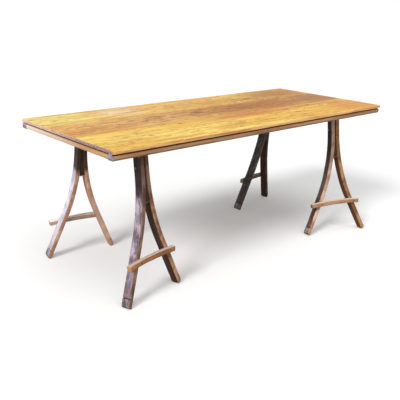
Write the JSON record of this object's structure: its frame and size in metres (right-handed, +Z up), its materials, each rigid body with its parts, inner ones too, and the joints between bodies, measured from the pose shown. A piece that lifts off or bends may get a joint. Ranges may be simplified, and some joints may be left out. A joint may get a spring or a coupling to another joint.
{
  "type": "folding trestle table",
  "caption": "Long plank table whose top lifts off two loose trestles, each a flat bearer on splayed A-shaped legs of old barrel staves that swivel in line for storage.",
  "frame": {"origin": "on the floor, under the middle of the table's overall box", "axes": "+X along the table's length, to the right as seen from the front; -Y towards the front; +Z up"},
  "size_m": [1.961, 0.8788, 0.77],
  "materials": {
    "top_oak": "golden oiled oak boards with a soft sheen",
    "edge_oak": "browner oak, moulded and oiled",
    "bearer_oak": "plain planed oak",
    "stave_oak": "old barrel staves, stained purple grey on the hollow face and tan on the edges",
    "crossbar_oak": "split oak bars, worn smooth",
    "dark_iron": "dull dark iron",
    "screw_steel": "dull steel"
  },
  "bodies": {
    "tabletop": {"front_plank": "top_oak", "middle_plank": "top_oak", "rear_plank": "top_oak", "front_edge_strip": "edge_oak", "rear_edge_strip": "edge_oak", "left_end_cleat": "edge_oak", "right_end_cleat": "edge_oak", "left_outer_batten": "bearer_oak", "left_inner_batten": "bearer_oak", "right_outer_batten": "bearer_oak", "right_inner_batten": "bearer_oak", "batten_screws": "screw_steel", "frame_screws": "screw_steel"},
    "left_trestle": {"left_bearer": "bearer_oak", "left_front_swivel_collar": "bearer_oak", "left_rear_swivel_collar": "bearer_oak"},
    "right_trestle": {"right_bearer": "bearer_oak", "right_front_swivel_collar": "bearer_oak", "right_rear_swivel_collar": "bearer_oak"},
    "left_front_leg": {"left_front_outer_stave": "stave_oak", "left_front_inner_stave": "stave_oak", "left_front_packing_strips": "bearer_oak", "left_front_pivot_rod": "dark_iron", "left_front_pivot_nuts": "dark_iron", "left_front_pivot_plate": "dark_iron", "left_front_clamp_bolts": "dark_iron", "left_front_clamp_nuts": "dark_iron", "left_front_crossbar": "crossbar_oak", "left_front_crossbar_pegs": "crossbar_oak"},
    "left_rear_leg": {"left_rear_outer_stave": "stave_oak", "left_rear_inner_stave": "stave_oak", "left_rear_packing_strips": "bearer_oak", "left_rear_pivot_rod": "dark_iron", "left_rear_pivot_nuts": "dark_iron", "left_rear_pivot_plate": "dark_iron", "left_rear_clamp_bolts": "dark_iron", "left_rear_clamp_nuts": "dark_iron", "left_rear_crossbar": "crossbar_oak", "left_rear_crossbar_pegs": "crossbar_oak"},
    "right_front_leg": {"right_front_outer_stave": "stave_oak", "right_front_inner_stave": "stave_oak", "right_front_packing_strips": "bearer_oak", "right_front_pivot_rod": "dark_iron", "right_front_pivot_nuts": "dark_iron", "right_front_pivot_plate": "dark_iron", "right_front_clamp_bolts": "dark_iron", "right_front_clamp_nuts": "dark_iron", "right_front_crossbar": "crossbar_oak", "right_front_crossbar_pegs": "crossbar_oak"},
    "right_rear_leg": {"right_rear_outer_stave": "stave_oak", "right_rear_inner_stave": "stave_oak", "right_rear_packing_strips": "bearer_oak", "right_rear_pivot_rod": "dark_iron", "right_rear_pivot_nuts": "dark_iron", "right_rear_pivot_plate": "dark_iron", "right_rear_clamp_bolts": "dark_iron", "right_rear_clamp_nuts": "dark_iron", "right_rear_crossbar": "crossbar_oak", "right_rear_crossbar_pegs": "crossbar_oak"}
  },
  "joints": [
    {"name": "left_trestle_drop", "type": "slide", "parent": "tabletop", "child": "left_trestle", "axis": [0, 0, -1], "range_m": [0, 0.15]},
    {"name": "right_trestle_drop", "type": "slide", "parent": "tabletop", "child": "right_trestle", "axis": [0, 0, -1], "range_m": [0, 0.15]},
    {"name": "left_front_leg_swivel", "type": "hinge", "parent": "left_trestle", "child": "left_front_leg", "pos_m": [-0.731, -0.22312, 0.728], "axis": [-0.0168, 0.1119, 0.9936], "range_deg": [-10.8, 79.2]},
    {"name": "left_rear_leg_swivel", "type": "hinge", "parent": "left_trestle", "child": "left_rear_leg", "pos_m": [-0.731, 0.28688, 0.728], "axis": [0.0171, 0.1119, -0.9936], "range_deg": [-8.6, 81.4]},
    {"name": "right_front_leg_swivel", "type": "hinge", "parent": "right_trestle", "child": "right_front_leg", "pos_m": [0.701, -0.23712, 0.728], "axis": [-0.038, -0.1521, -0.9876], "range_deg": [-19.9, 70.1]},
    {"name": "right_rear_leg_swivel", "type": "hinge", "parent": "right_trestle", "child": "right_rear_leg", "pos_m": [0.701, 0.27288, 0.728], "axis": [0.0575, -0.1119, 0.9921], "range_deg": [-12.6, 77.4]}
  ]
}
